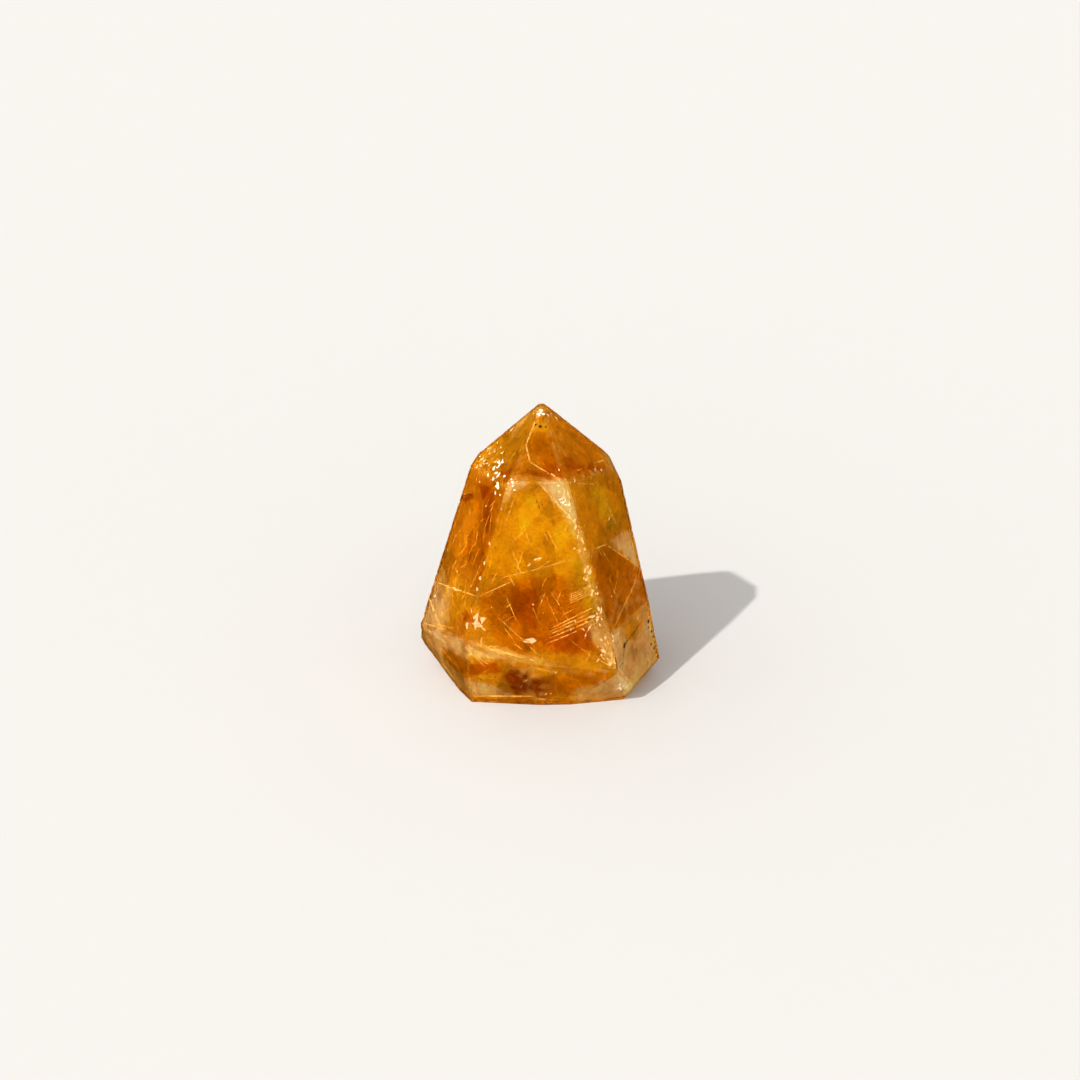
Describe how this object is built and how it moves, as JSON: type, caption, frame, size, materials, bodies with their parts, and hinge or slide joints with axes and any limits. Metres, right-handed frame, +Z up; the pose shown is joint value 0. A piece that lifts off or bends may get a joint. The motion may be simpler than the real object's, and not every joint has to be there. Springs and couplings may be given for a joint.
{
  "type": "citrine crystal point",
  "caption": "Free-standing polished citrine crystal point: tapering six-sided body, pointed crown and flat ground base.",
  "frame": {"origin": "centre of the footprint box, on the plane of the ground base", "axes": "+Z up through the tip, -Y towards the front face, +X to the right as seen from the front"},
  "size_m": [0.042, 0.0296, 0.0511],
  "materials": {
    "citrine": "polished, see-through, with veils and frosted worn edges"
  },
  "bodies": {
    "root": {"citrine_point": "citrine"}
  },
  "joints": []
}
